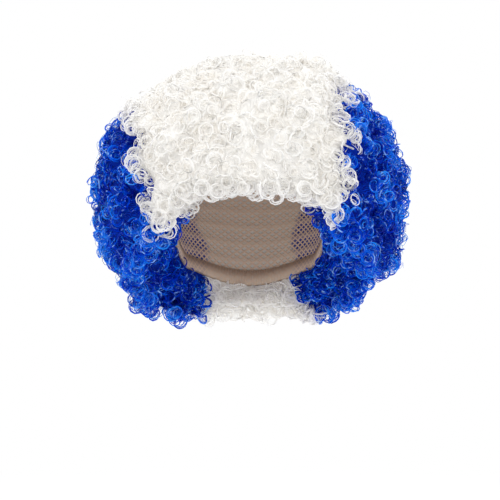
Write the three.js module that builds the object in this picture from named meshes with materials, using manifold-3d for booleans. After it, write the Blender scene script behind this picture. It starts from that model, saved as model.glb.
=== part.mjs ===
// Afro wig: a stretch cap that sits on the head, covered by three panels of tight round curls.
// A white panel runs as a strip from the forehead over the crown to the nape, with a blue panel on
// each side of it. Each panel is a thick hair mass with rolled curls standing out of it.
// Millimetres, +Z up, the face opening towards -Y, the wearer's left towards +X.
// The origin is the inside of the cap at the crown, where the wig bears on the top of the head.
import * as THREE from "three";
import { mergeVertices } from "three/addons/utils/BufferGeometryUtils.js";
import Module from "manifold-3d";

const wasm = await Module();
wasm.setup();

// Head space inside the cap, as the half axes of an egg about its widest level
const HEAD = { side: 77, front: 96, back: 100, crown: 88, nape: 150 };
const HEAD_CENTRE = new THREE.Vector3(0, 0, -HEAD.crown);

// Stretch cap
const CAP_WALL = 2;
const HEM_WIDTH_DEG = 7; // the hem's width, as an angle seen from the middle of the head
const HEM_EXTRA = 1.4; // how much thicker the folded hem is, on the inside
const PIECE_GAP = 0.4;

// Hair ball: half axes of the outline about its own centre, measured to the tips of the curls
const BALL = { side: 162, front: 152, back: 166, crown: 143, nape: 168 };
const BALL_CENTRE = new THREE.Vector3(0, 6, -76);

// The lower edges, a row for each section round the head: azimuth is measured from the face to the
// nape, capRim and hairEnd are angles down from the crown about the head's centre, ballEnd is the
// same about the ball's centre, and flare is how far the hanging hair stands off the head.
const EDGES = [
  { azimuth: 0, capRim: 72, hairEnd: 83, ballEnd: 92, flare: 6 },
  { azimuth: 25, capRim: 73, hairEnd: 84, ballEnd: 93, flare: 6 },
  { azimuth: 44, capRim: 84, hairEnd: 103, ballEnd: 112, flare: 9 },
  { azimuth: 64, capRim: 102, hairEnd: 117, ballEnd: 126, flare: 13 },
  { azimuth: 90, capRim: 112, hairEnd: 131, ballEnd: 142, flare: 18 },
  { azimuth: 125, capRim: 129, hairEnd: 143, ballEnd: 149, flare: 6 },
  { azimuth: 180, capRim: 133, hairEnd: 140, ballEnd: 146, flare: 2 },
];

// Grid of the cap and of the hair mass
const ROUND_STEPS = 36;
const CAP_DOWN_STEPS = 7;
const FLARE_STEPS = 3;
const MASS_DOWN_STEPS = 10;
const EDGE_ROUNDING = 6; // power of the curve that turns the mass in at its lower edge

// Partings: each blue side lies inside a cone with its tip in the head. The cones' axis is the X axis
// tipped by a lean that takes the top of the white strip to the wearer's right. The rows give the
// cone's half angle round that axis, from the crown by way of the face to the neck and the nape.
const PARTINGS = [
  { turn: 0, angle: 45 },
  { turn: 60, angle: 48 },
  { turn: 97, angle: 51 },
  { turn: 118, angle: 61 },
  { turn: 180, angle: 71 },
  { turn: 225, angle: 66 },
  { turn: 280, angle: 49 },
  { turn: 360, angle: 45 },
];
const PARTING_BARE_DEG = 7; // strip of the blue along the parting that bears no curls of its own
const PARTING_LENGTH = 260;
const PARTING_SIDES = 48;
const PARTING_CENTRE = new THREE.Vector3(-6, 0, -82);
const PARTING_LEAN_DEG = 6;

// Rolled curls: a short barrel with a hollow eye in its end. The widths are shares of the radius, and
// the shoulder is a share of the rise.
const CURL = { radius: 22, rise: 15, root: 18, eyeDepth: 9, sides: 6 };
const CURL_ROOT_WIDTH = 1.05;
const CURL_TIP_WIDTH = 0.68;
const CURL_SHOULDER = 0.25;
const CURL_SIZE_SPREAD = 0.16;
const FIELD_CURLS = 120; // over a whole ball, of which the open face and neck take none
const FIELD_REACH = 0.86; // share of the way from the crown to the lower edge
const HEM_CURLS = 22;
const HEM_STATIONS = 720; // steps in which the length of the lower edge is added up
const HEM_REACH = 0.93;
const FIELD_DROOP = 0.12;
const HEM_DROOP = 0.75;
const CURL_CLEARANCE = 4; // how far the curls at the edge keep off the head
const GOLDEN_ANGLE = Math.PI * (3 - Math.sqrt(5));

const WHITE_HAIR = { color: 0xf1eee9, roughness: 0.55, metalness: 0 };
const BLUE_HAIR = { color: 0x0c3aa8, roughness: 0.5, metalness: 0 };
const CAP_NET = { color: 0xb8a596, roughness: 0.9, metalness: 0 };

const rad = THREE.MathUtils.degToRad;
const smooth = (x) => THREE.MathUtils.smoothstep(x, 0, 1);

// A column of a table at any value of its key column, eased between the rows.
function eased(table, key, column, value) {
  const next = table.findIndex((row) => row[key] > value);
  const [low, high] = next < 0 ? table.slice(-2) : table.slice(next - 1, next + 1);
  const way = smooth((value - low[key]) / (high[key] - low[key]));
  return THREE.MathUtils.lerp(low[column], high[column], way);
}

// A column of EDGES at any azimuth; both sides of the head are alike.
function edgeAt(column, azimuth) {
  const fromFace = Math.abs(Math.atan2(Math.sin(azimuth), Math.cos(azimuth)));
  return eased(EDGES, "azimuth", column, THREE.MathUtils.radToDeg(fromFace));
}

// Half angle of the parting cones at a place, by its turn about their axis from the crown to the face.
function partingAt(y, z) {
  const turn = THREE.MathUtils.euclideanModulo(Math.atan2(-y, z), 2 * Math.PI);
  return rad(eased(PARTINGS, "turn", "angle", THREE.MathUtils.radToDeg(turn)));
}

// Unit vector at an azimuth from the face and an angle down from the crown.
function direction(azimuth, down) {
  const flat = Math.sin(down);
  return new THREE.Vector3(flat * Math.sin(azimuth), -flat * Math.cos(azimuth), Math.cos(down));
}

// Distance from the centre of an egg to its surface; front and back, crown and nape differ.
function eggRadius(egg, dir, grow) {
  const deep = dir.y < 0 ? egg.front : egg.back;
  const tall = dir.z > 0 ? egg.crown : egg.nape;
  return 1 / Math.hypot(dir.x / (egg.side + grow), dir.y / (deep + grow), dir.z / (tall + grow));
}

function onEgg(egg, centre, dir, grow) {
  return dir.clone().multiplyScalar(eggRadius(egg, dir, grow)).add(centre);
}

// Angles down from the crown at which the cap has its rings: even steps to the hem, then the rim.
function capRings(azimuth) {
  const hem = rad(edgeAt("capRim", azimuth) - HEM_WIDTH_DEG);
  const rings = [];
  for (let j = 0; j <= CAP_DOWN_STEPS; j++) rings.push((j / CAP_DOWN_STEPS) * hem);
  return [...rings, rad(edgeAt("capRim", azimuth))];
}

// Inner face of the hair at an angle down from the crown: over the cap, then flaring off the head.
function hairInside(azimuth, down) {
  const rim = rad(edgeAt("capRim", azimuth));
  const below = smooth((down - rim) / (rad(edgeAt("hairEnd", azimuth)) - rim));
  const offset = CAP_WALL + PIECE_GAP + below * edgeAt("flare", azimuth);
  return onEgg(HEAD, HEAD_CENTRE, direction(azimuth, down), offset);
}

// Root of the hair whose tip lies at a share of the way from the crown to the lower edge.
function hairRoot(azimuth, share) {
  return hairInside(azimuth, share * rad(edgeAt("hairEnd", azimuth)));
}

// Outer face of the hair mass, which lies under the curl tips and turns in to meet the inner face.
function hairOutside(azimuth, share) {
  const down = share * rad(edgeAt("ballEnd", azimuth));
  const ball = onEgg(BALL, BALL_CENTRE, direction(azimuth, down), -CURL.rise);
  const fullness = (1 - share ** EDGE_ROUNDING) ** (1 / EDGE_ROUNDING);
  return hairRoot(azimuth, share).lerp(ball, fullness);
}

// Closed shell from meridian profiles: each runs from a point on the axis, down one face to the corner
// numbered turn, round the lower edge and back up the other face to a second point on the axis. Both
// faces have the same diagonals, so that faces of two shells that lie on each other stay parallel.
function shellGeometry(profileAt, turn) {
  const meridians = [];
  for (let i = 0; i < ROUND_STEPS; i++) meridians.push(profileAt((i / ROUND_STEPS) * 2 * Math.PI));
  const last = meridians[0].length - 1;
  const rings = last - 1;
  const points = [meridians[0][0], ...meridians.flatMap((m) => m.slice(1, last)), meridians[0][last]];
  const at = (i, j) => {
    if (j === 0) return 0;
    if (j === last) return points.length - 1;
    return 1 + (i % ROUND_STEPS) * rings + (j - 1);
  };
  const index = [];
  for (let i = 0; i < ROUND_STEPS; i++) {
    for (let j = 0; j < last; j++) {
      const quad = [at(i, j), at(i, j + 1), at(i + 1, j + 1), at(i + 1, j)];
      const [a, b, c, d] = j < turn ? [quad[1], quad[2], quad[3], quad[0]] : quad;
      if (a !== b && b !== c) index.push(a, b, c);
      if (c !== d && d !== a) index.push(a, c, d);
    }
  }
  const geometry = new THREE.BufferGeometry().setFromPoints(points);
  geometry.setIndex(index);
  return geometry;
}

// Section of the cap: down the outside, round the folded hem and up the inside.
function capProfile(azimuth) {
  const rings = capRings(azimuth);
  const [hem, rim] = rings.slice(-2);
  const at = (down, grow) => onEgg(HEAD, HEAD_CENTRE, direction(azimuth, down), grow);
  const outside = rings.map((down) => at(down, CAP_WALL));
  const foldedHem = [at(rim, -HEM_EXTRA), at(hem, -HEM_EXTRA)];
  const inside = rings.slice(0, -1).map((down) => at(down, 0));
  return [...outside, ...foldedHem, ...inside.reverse()];
}

// Section of the hair mass: down the outside to the lower edge and up the inside along the cap.
function massProfile(azimuth) {
  const outside = [];
  for (let j = 0; j < MASS_DOWN_STEPS; j++) {
    outside.push(hairOutside(azimuth, Math.sin((j / MASS_DOWN_STEPS) * (Math.PI / 2))));
  }
  const rings = capRings(azimuth);
  const rim = rings.at(-1);
  for (let j = 1; j <= FLARE_STEPS; j++) {
    rings.push(THREE.MathUtils.lerp(rim, rad(edgeAt("hairEnd", azimuth)), j / FLARE_STEPS));
  }
  const inside = rings.map((down) => hairInside(azimuth, down));
  return [...outside, ...inside.reverse()];
}

// Solid for joining and cutting, from a closed geometry.
function solid(geometry) {
  const bare = geometry.clone();
  bare.deleteAttribute("normal");
  bare.deleteAttribute("uv");
  const merged = mergeVertices(bare, 1e-4);
  return new wasm.Manifold(
    new wasm.Mesh({
      numProp: 3,
      vertProperties: new Float32Array(merged.attributes.position.array),
      triVerts: new Uint32Array(merged.index.array),
    }),
  );
}

function meshFrom(name, body, look) {
  const made = body.getMesh();
  const geometry = new THREE.BufferGeometry();
  geometry.setAttribute("position", new THREE.BufferAttribute(made.vertProperties, made.numProp));
  geometry.setIndex(new THREE.BufferAttribute(made.triVerts, 1));
  geometry.computeVertexNormals();
  const mesh = new THREE.Mesh(geometry, new THREE.MeshStandardMaterial(look));
  mesh.name = name;
  return mesh;
}

// Azimuths of the curls along the lower edge, at even steps of the edge's own length.
function hemAzimuths() {
  const stations = [];
  for (let i = 0; i <= HEM_STATIONS; i++) stations.push((i / HEM_STATIONS) * 2 * Math.PI);
  const corners = stations.map((azimuth) => hairOutside(azimuth, HEM_REACH));
  const lengths = [0];
  for (let i = 1; i <= HEM_STATIONS; i++) lengths.push(lengths[i - 1] + corners[i].distanceTo(corners[i - 1]));
  const spacing = lengths[HEM_STATIONS] / HEM_CURLS;
  const azimuths = [];
  for (let k = 0; k < HEM_CURLS; k++) {
    azimuths.push(stations[lengths.findIndex((length) => length >= (k + 0.5) * spacing)]);
  }
  return azimuths;
}

// Where the curls stand: evenly spread over the ball, and in one row along the lower edge.
function curlPlaces() {
  const places = [];
  for (let k = 0; k < FIELD_CURLS; k++) {
    const azimuth = k * GOLDEN_ANGLE;
    const down = Math.acos(1 - (2 * (k + 0.5)) / FIELD_CURLS);
    const share = down / rad(edgeAt("ballEnd", azimuth));
    if (share < FIELD_REACH) places.push({ azimuth, share, droop: FIELD_DROOP });
  }
  for (const azimuth of hemAzimuths()) places.push({ azimuth, share: HEM_REACH, droop: HEM_DROOP });
  return places.map((place, k) => ({ ...place, turn: k * GOLDEN_ANGLE }));
}

// The head with the cap on it, as one egg.
function headForm() {
  const geometry = new THREE.SphereGeometry(1, ROUND_STEPS, ROUND_STEPS / 2);
  const corners = geometry.attributes.position;
  for (let i = 0; i < corners.count; i++) {
    const dir = new THREE.Vector3().fromBufferAttribute(corners, i).normalize();
    const corner = onEgg(HEAD, HEAD_CENTRE, dir, CURL_CLEARANCE);
    corners.setXYZ(i, corner.x, corner.y, corner.z);
  }
  return solid(geometry);
}

// Barrel of one rolled curl, standing on the mass along the way the hair grows.
function curlSolid(place, grow) {
  const size = 1 + CURL_SIZE_SPREAD * Math.sin(place.turn * 2);
  const radius = CURL.radius * size + grow;
  const tip = CURL.rise + grow;
  const profile = [
    [0, -CURL.root],
    [radius * CURL_ROOT_WIDTH, -CURL.root],
    [radius, tip * CURL_SHOULDER],
    [radius * CURL_TIP_WIDTH, tip],
    [0, tip - CURL.eyeDepth],
  ].map(([x, y]) => new THREE.Vector2(x, y));
  const foot = hairOutside(place.azimuth, place.share);
  const growth = foot.clone().sub(hairRoot(place.azimuth, place.share)).normalize();
  growth.z -= place.droop;
  const stand = new THREE.Quaternion().setFromUnitVectors(new THREE.Vector3(0, 1, 0), growth.normalize());
  const spin = new THREE.Quaternion().setFromAxisAngle(new THREE.Vector3(0, 1, 0), place.turn);
  const geometry = new THREE.LatheGeometry(profile, CURL.sides);
  geometry.applyQuaternion(stand.multiply(spin)).translate(foot.x, foot.y, foot.z);
  return solid(geometry);
}

// Cone of one parting, on the wearer's left for side 1 and right for side -1.
function partingCone(side, gap) {
  const cone = new THREE.ConeGeometry(1, PARTING_LENGTH, PARTING_SIDES);
  cone.translate(0, -PARTING_LENGTH / 2, 0);
  cone.rotateZ((side * Math.PI) / 2);
  const corners = cone.attributes.position;
  for (let i = 0; i < corners.count; i++) {
    const [y, z] = [corners.getY(i), corners.getZ(i)];
    const wide = PARTING_LENGTH * Math.tan(partingAt(y, z)) - gap;
    corners.setXYZ(i, corners.getX(i) + side * gap, y * wide, z * wide);
  }
  cone.rotateY(-rad(PARTING_LEAN_DEG));
  cone.translate(PARTING_CENTRE.x, PARTING_CENTRE.y, PARTING_CENTRE.z);
  return solid(cone);
}

// Panel that a curl belongs to: 0 for white, 1 and -1 for blue, or none where a blue curl would stand
// half under the white ones along the parting.
function panelOf(place) {
  const foot = hairOutside(place.azimuth, place.share).sub(PARTING_CENTRE);
  foot.applyAxisAngle(new THREE.Vector3(0, 1, 0), rad(PARTING_LEAN_DEG));
  const fromAxis = Math.atan2(Math.hypot(foot.y, foot.z), Math.abs(foot.x));
  const parting = partingAt(foot.y, foot.z);
  if (fromAxis > parting) return 0;
  return fromAxis < parting - rad(PARTING_BARE_DEG) ? Math.sign(foot.x) : null;
}

const join = (bodies) => bodies.reduce((all, next) => all.add(next));
const hairMass = solid(shellGeometry(massProfile, MASS_DOWN_STEPS));
const head = headForm();
const places = curlPlaces();

function panelCurls(panel, grow) {
  const own = places.filter((place) => panelOf(place) === panel);
  return own.map((place) => curlSolid(place, grow).subtract(head));
}

// The white strip is what both cones leave of the hair mass.
function whitePanel() {
  const strip = hairMass.subtract(partingCone(1, 0)).subtract(partingCone(-1, 0));
  return join([strip, ...panelCurls(0, 0)]);
}

// A blue side is what one cone takes of the mass and its curls, hollowed where white curls lie over it.
function bluePanel(side, whiteCurls) {
  const wedge = join([hairMass, ...panelCurls(side, 0)]).intersect(partingCone(side, PIECE_GAP));
  return wedge.subtract(whiteCurls);
}

const wig = new THREE.Group();
wig.add(meshFrom("cap", solid(shellGeometry(capProfile, CAP_DOWN_STEPS + 2)), CAP_NET));
wig.add(meshFrom("hair_white", whitePanel(), WHITE_HAIR));
const whiteCurlsWithGap = join(panelCurls(0, PIECE_GAP));
wig.add(meshFrom("hair_blue_left", bluePanel(1, whiteCurlsWithGap), BLUE_HAIR));
wig.add(meshFrom("hair_blue_right", bluePanel(-1, whiteCurlsWithGap), BLUE_HAIR));

export default wig;
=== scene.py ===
"""Afro wig in white and blue: a stretch net cap with three panels of tight ringlets, held as worn.

Shapes are worked out in millimetres, +Z up, the face towards -Y, with the origin inside the cap at the
crown, and are put into the meshes in metres.
"""
import math

import bmesh
import bpy
import numpy as np
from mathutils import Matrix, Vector


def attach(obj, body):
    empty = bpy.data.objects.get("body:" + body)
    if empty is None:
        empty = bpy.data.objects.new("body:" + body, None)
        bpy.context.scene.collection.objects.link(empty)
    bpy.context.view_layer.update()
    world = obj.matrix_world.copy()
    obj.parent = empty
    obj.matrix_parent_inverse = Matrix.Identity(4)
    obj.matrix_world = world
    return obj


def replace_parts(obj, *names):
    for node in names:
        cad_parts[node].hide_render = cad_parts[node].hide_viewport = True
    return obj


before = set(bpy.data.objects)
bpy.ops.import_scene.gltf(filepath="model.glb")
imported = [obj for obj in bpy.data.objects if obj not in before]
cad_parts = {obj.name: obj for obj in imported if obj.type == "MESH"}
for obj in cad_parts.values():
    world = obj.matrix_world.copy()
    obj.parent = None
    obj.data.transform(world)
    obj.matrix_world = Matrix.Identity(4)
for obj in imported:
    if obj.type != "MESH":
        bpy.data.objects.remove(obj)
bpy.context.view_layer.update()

MM = 0.001
GOLDEN_ANGLE = math.pi * (3 - math.sqrt(5))

# Head space inside the cap and outline of the hair, as half axes of two eggs
HEAD = {"side": 77, "front": 96, "back": 100, "crown": 88, "nape": 150}
HEAD_CENTRE = np.array([0.0, 0.0, -88.0])
BALL = {"side": 162, "front": 152, "back": 166, "crown": 143, "nape": 168}
BALL_CENTRE = np.array([0.0, 6.0, -76.0])

# Lower edges: azimuth from the face to the nape; cap_rim and hair_end are angles down from the crown
# about the head's centre, ball_end the same about the ball's; flare is how far hanging hair stands off.
EDGES = {
    "azimuth": [0, 25, 44, 64, 90, 125, 180],
    "cap_rim": [72, 73, 84, 102, 112, 129, 133],
    "hair_end": [83, 84, 103, 117, 131, 143, 140],
    "ball_end": [92, 93, 112, 126, 142, 149, 146],
    "flare": [6, 6, 9, 13, 18, 6, 2],
}
EDGE_ROUNDING = 6

# Half angle of the two parting cones about their axis, by the turn from the crown over the face; the
# axis is the X axis tipped by a lean that takes the top of the white strip to the wearer's right
PARTINGS = {"turn": [0, 60, 97, 118, 180, 225, 280, 360], "angle": [45, 48, 51, 61, 71, 66, 49, 45]}
PARTING_CENTRE = np.array([-6.0, 0.0, -82.0])
PARTING_LEAN = math.radians(6)

# Waves of the partings, where the curls bunch: how many go round the axis, how far each swings, and the
# shift of its phase, which is opposite on the two sides
PARTING_WAVES = {"number": [13, 22], "degrees": [2.0, 0.6], "side_shift": [-0.3, 1.5]}

# Big curls that the ringlets bunch into, over the ball and in a row along the lower edge
CURL_RADIUS = 22.0
CURL_RISE = 15.0
CURL_SIZE_SPREAD = 0.16
FIELD_CURLS = 120
FIELD_REACH = 0.86
FIELD_DROOP = 0.12
HEM_CURLS = 22
HEM_REACH = 0.93
HEM_DROOP = 0.75
BUNCH_DEPTH = 1.5  # rises above or below its foot past which a big curl gathers less hair
BUNCH_CORE = 0.45  # radii from the axis of a big curl at which its end starts to fall away
BUNCH_FADE = 0.65  # radii over which it falls away

# Where the worn hair has settled away from the even ball: place, move outward from the ball's centre,
# and reach of the move, which is twice as long in depth
SETTLED = {
    "x": [66, -100, -146, 146, 116],
    "y": [0, 0, 0, 0, -10],
    "z": [58, 40, -142, -146, -190],
    "out": [13, -6, 8, 8, -9],
    "reach": [22, 24, 24, 22, 30],
}

CAP_WALL = 2.0
HEM_DEG = 7.0
HEM_EXTRA = 1.4
PIECE_GAP = 0.4


# Forms of the head and the hair


def smooth(x):
    """Eased step: 3x^2 - 2x^3 between 0 and 1."""
    x = np.clip(x, 0, 1)
    return x * x * (3 - 2 * x)


def unit(v):
    """Vectors over their lengths."""
    return v / np.maximum(np.linalg.norm(v, axis=-1, keepdims=True), 1e-9)


def eased(table, key, column, value):
    """A column of a table at any value of its key column, eased between the rows."""
    keys, column = np.array(table[key], float), np.array(table[column], float)
    high = np.clip(np.searchsorted(keys, value, side="right"), 1, len(keys) - 1)
    way = smooth((value - keys[high - 1]) / (keys[high] - keys[high - 1]))
    return column[high - 1] + (column[high] - column[high - 1]) * way


def edge_at(column, azimuth):
    """A column of EDGES at an azimuth; both sides of the head are alike."""
    from_face = np.degrees(np.abs(np.arctan2(np.sin(azimuth), np.cos(azimuth))))
    return eased(EDGES, "azimuth", column, from_face)


def direction(azimuth, down):
    """Unit vectors at an azimuth from the face and an angle down from the crown."""
    flat = np.sin(down)
    return np.stack([flat * np.sin(azimuth), -flat * np.cos(azimuth), np.cos(down)], -1)


def on_egg(egg, centre, along, grow):
    """Centre plus direction over the length of (x/side, y/depth, z/height), each half axis grown."""
    deep = np.where(along[..., 1] < 0, egg["front"], egg["back"])
    tall = np.where(along[..., 2] > 0, egg["crown"], egg["nape"])
    axes = np.stack([np.full(deep.shape, float(egg["side"])), deep, tall], -1) + np.asarray(grow)[..., None]
    return centre + along / np.linalg.norm(along / axes, axis=-1, keepdims=True)


def settled(point):
    """A point of the hair moved by each row of SETTLED, fading as a bell with its distance from the row's
    place."""
    place = np.stack([SETTLED["x"], SETTLED["y"], SETTLED["z"]], -1).astype(float)
    way = unit(place - BALL_CENTRE) * np.array(SETTLED["out"], float)[:, None]
    reach = np.array(SETTLED["reach"], float)[:, None] * np.array([1.0, 2.0, 1.0])
    off = (point[..., None, :] - place) / reach
    return point + (np.exp(-(off**2).sum(-1))[..., None] * way).sum(-2)


def hair_inside(azimuth, down):
    """Inner face of the hair: along the cap to its rim, then easing away from the head by the flare, and
    moved where the hair has settled."""
    rim = np.radians(edge_at("cap_rim", azimuth))
    end = np.radians(edge_at("hair_end", azimuth))
    offset = CAP_WALL + PIECE_GAP + smooth((down - rim) / (end - rim)) * edge_at("flare", azimuth)
    return settled(on_egg(HEAD, HEAD_CENTRE, direction(azimuth, down), offset))


def hair_root(azimuth, share):
    """Foot of the hair whose tip is at a share of the way from the crown to the lower edge."""
    return hair_inside(azimuth, share * np.radians(edge_at("hair_end", azimuth)))


def hair_face(azimuth, share, inset):
    """Face an inset below the curl tips: the ball, moved where the hair has settled, and drawn in to the
    foot as (1 - share^n)^(1/n)."""
    down = share * np.radians(edge_at("ball_end", azimuth))
    ball = on_egg(BALL, BALL_CENTRE, direction(azimuth, down), -np.asarray(inset) + np.zeros_like(down))
    full = (1 - np.clip(share, 0, 1) ** EDGE_ROUNDING) ** (1 / EDGE_ROUNDING)
    root = hair_root(azimuth, share)
    return root + (settled(ball) - root) * full[..., None]


def face_normal(azimuth, share):
    """Outward unit normal of the hair's face, from the slopes down the meridian and round the head."""
    step = 0.004
    share = np.clip(share, 2 * step, 1 - 2 * step)
    inset = CURL_RISE / 2
    down = hair_face(azimuth, share + step, inset) - hair_face(azimuth, share - step, inset)
    across = hair_face(azimuth + step, share, inset) - hair_face(azimuth - step, share, inset)
    return unit(np.cross(down, across))


def past_parting(point):
    """Degrees from a point to the waving parting cone: over 0 in the white strip, under 0 in a blue side.
    The point's angle from the leaning axis, less the cone's at its turn, plus sines of the turn."""
    x, y, z = np.moveaxis(point - PARTING_CENTRE, -1, 0)
    lean_cos, lean_sin = math.cos(PARTING_LEAN), math.sin(PARTING_LEAN)
    x, z = x * lean_cos + z * lean_sin, z * lean_cos - x * lean_sin
    turn = np.degrees(np.arctan2(-y, z)) % 360
    from_axis = np.degrees(np.arctan2(np.hypot(y, z), np.abs(x)))
    number, degrees, shift = (np.array(PARTING_WAVES[key]) for key in ("number", "degrees", "side_shift"))
    wave = degrees * np.sin(np.radians(turn)[..., None] * number + np.sign(x)[..., None] * shift)
    return from_axis - eased(PARTINGS, "turn", "angle", turn) + wave.sum(-1)


def hem_azimuths(count):
    """Azimuths along the lower edge at even steps of the edge's own length, summed over half degrees."""
    ring = np.radians(np.linspace(0, 360, 2 * 360 + 1))
    corner = hair_face(ring, np.full_like(ring, HEM_REACH), CURL_RISE)
    length = np.concatenate([[0], np.cumsum(np.linalg.norm(np.diff(corner, axis=0), axis=1))])
    return np.interp((np.arange(count) + 0.5) / count * length[-1], length, ring)


def big_curls():
    """Feet, growth directions and radii of the big curls: a golden spiral over the ball, then one row
    along the lower edge."""
    k = np.arange(FIELD_CURLS)
    azimuth = k * GOLDEN_ANGLE
    share = np.arccos(1 - 2 * (k + 0.5) / FIELD_CURLS) / np.radians(edge_at("ball_end", azimuth))
    field = share < FIELD_REACH
    azimuth = np.concatenate([azimuth[field], hem_azimuths(HEM_CURLS)])
    share = np.concatenate([share[field], np.full(HEM_CURLS, HEM_REACH)])
    droop = np.concatenate([np.full(field.sum(), FIELD_DROOP), np.full(HEM_CURLS, HEM_DROOP)])
    foot = hair_face(azimuth, share, CURL_RISE)
    growth = unit(foot - hair_root(azimuth, share))
    growth = unit(growth - droop[:, None] * np.array([0.0, 0.0, 1.0]))
    radius = CURL_RADIUS * (1 + CURL_SIZE_SPREAD * np.sin(2 * GOLDEN_ANGLE * np.arange(len(foot))))
    return foot, growth, radius


CURL_FOOT, CURL_GROWTH, CURL_SIZE = big_curls()


def bunch(point):
    """How a place on the hair sits in the nearest big curl: 1 on its end falling to 0 past its side, and
    the lean away from its axis."""
    rel = point[..., None, :] - CURL_FOOT
    along = (rel * CURL_GROWTH).sum(-1, keepdims=True)
    aside = (rel - along * CURL_GROWTH) / CURL_SIZE[:, None]
    over = np.maximum(np.abs(along[..., 0]) / CURL_RISE - BUNCH_DEPTH, 0)
    far = np.hypot(np.linalg.norm(aside, axis=-1), over)
    pick = far.argmin(-1)[..., None]
    near = np.take_along_axis(far, pick, -1)[..., 0]
    lean = np.take_along_axis(aside, pick[..., None], -2)[..., 0, :]
    return 1 - smooth((near - BUNCH_CORE) / BUNCH_FADE), lean


# Meshes

WELD_DISTANCE = 1e-6  # metres
STRAND_TIP = 0.3  # share of a strand's width at its very ends
STRAND_TAPER = 4.0  # shares of the width that it gains over its whole length


def mesh_piece(name, points, quads, triangles, material, values=None, uv=None, weld=False, flat=False):
    """Mesh object from arrays: points in millimetres, corner numbers of the quads and the triangles."""
    mesh = bpy.data.meshes.new(name)
    corners = np.concatenate([np.ravel(quads), np.ravel(triangles)]).astype(np.int32)
    starts = np.concatenate([np.arange(len(quads)) * 4, len(quads) * 4 + np.arange(len(triangles)) * 3])
    mesh.vertices.add(len(points))
    mesh.vertices.foreach_set("co", (points * MM).astype(np.float32).ravel())
    mesh.loops.add(len(corners))
    mesh.loops.foreach_set("vertex_index", corners)
    mesh.polygons.add(len(starts))
    mesh.polygons.foreach_set("loop_start", starts.astype(np.int32))
    mesh.update(calc_edges=True)
    mesh.polygons.foreach_set("use_smooth", np.full(len(starts), not flat))
    for key, value in (values or {}).items():
        mesh.attributes.new(key, "FLOAT", "POINT").data.foreach_set("value", value.astype(np.float32))
    if uv is not None:
        mesh.uv_layers.new(name="lay").data.foreach_set("uv", uv[corners].astype(np.float32).ravel())
    if weld:
        shape = bmesh.new()
        shape.from_mesh(mesh)
        bmesh.ops.remove_doubles(shape, verts=shape.verts, dist=WELD_DISTANCE)
        shape.to_mesh(mesh)
        shape.free()
    mesh.materials.append(material)
    piece = bpy.data.objects.new(name, mesh)
    bpy.context.scene.collection.objects.link(piece)
    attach(piece, "root")
    return piece


def strand_arrays(paths, outward, width, thick):
    """Three-sided strand along each path: the section's corners lie a third of a turn apart on an
    ellipse, width across and thick in the outward direction, thinning to a point at both ends."""
    count, rows = paths.shape[0], paths.shape[1] - 2
    along = unit(np.gradient(paths, axis=1))
    outward = unit(outward - along * (outward * along).sum(-1, keepdims=True))
    sideways = np.cross(outward, along)
    s = np.linspace(0, 1, rows + 2)[1:-1]
    thin = np.minimum(1, STRAND_TAPER * np.minimum(s, 1 - s) + STRAND_TIP)[None, :, None, None] / 2
    corner = np.array([1 / 2, 7 / 6, 11 / 6]) * np.pi
    ring = (
        sideways[:, 1:-1, None, :] * (width[:, None] * np.cos(corner))[:, None, :, None]
        + outward[:, 1:-1, None, :] * (thick[:, None] * np.sin(corner))[:, None, :, None]
    ) * thin + paths[:, 1:-1, None, :]
    points = np.concatenate([ring.reshape(count, rows * 3, 3), paths[:, :1], paths[:, -1:]], axis=1)
    size = rows * 3 + 2
    row = np.arange(rows - 1)[:, None] * 3
    a, b = np.arange(3)[None, :], (np.arange(3)[None, :] + 1) % 3
    quads = np.stack([row + a, row + b, row + 3 + b, row + 3 + a], -1).reshape(-1, 4)
    foot = np.stack([np.full(3, size - 2), b[0], a[0]], -1)
    tip = np.stack([np.full(3, size - 1), (rows - 1) * 3 + a[0], (rows - 1) * 3 + b[0]], -1)
    ends = np.concatenate([foot, tip])
    shift = (np.arange(count) * size)[:, None, None]
    uv_ring = np.stack(np.broadcast_arrays(np.arange(3)[None, :] / 3, s[:, None]), -1).reshape(-1, 2)
    uv = np.tile(np.concatenate([uv_ring, [[0.5, 0.0], [0.5, 1.0]]]), (count, 1))
    return points.reshape(-1, 3), (quads + shift).reshape(-1, 4), (ends + shift).reshape(-1, 3), uv, size


def joined(parts):
    """Several strand arrays as one: points one after the other, with the corner numbers moved up."""
    shift = np.cumsum([0] + [len(p[0]) for p in parts[:-1]])
    points, uv, tone = (np.concatenate([p[k] for p in parts]) for k in (0, 3, 4))
    quads, triangles = (np.concatenate([p[k] + n for p, n in zip(parts, shift)]) for k in (1, 2))
    return points, quads, triangles, uv, tone


# Finishes

WAVE_PERIOD = math.pi / 10  # length of one band of a wave texture at scale 1
NET_PITCH = 4.2
NET_TURN = 0.9  # radians that the two sets of threads lean either way
NET_CLOSE = 0.75  # how far the threads close up where the net is sewn
RIB_PITCH = 1.6
TONE_SHARE = 0.5  # shares of the strand's tone, the drift and the lines in the shade of the fibre
DRIFT_SHARE = 0.3
LINE_SHARE = 0.35
SHADE_STEPS = (0.24, 0.56, 0.9)  # sums of the shares at which the fibre is deep, body and light


def node(tree, kind, values=None, **settings):
    """New shader node with its settings and the plain values of its sockets."""
    made = tree.nodes.new(kind)
    for key, value in settings.items():
        setattr(made, key, value)
    for key, value in (values or {}).items():
        made.inputs[key].default_value = value
    return made


def group_tree(name, inputs, outputs):
    """Empty shader group with its sockets, and its two end nodes."""
    group = bpy.data.node_groups.new(name, "ShaderNodeTree")
    for in_out, sockets in (("INPUT", inputs), ("OUTPUT", outputs)):
        for socket, kind in sockets.items():
            group.interface.new_socket(socket, in_out=in_out, socket_type="NodeSocket" + kind)
    return group, node(group, "NodeGroupInput"), node(group, "NodeGroupOutput")


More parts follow.
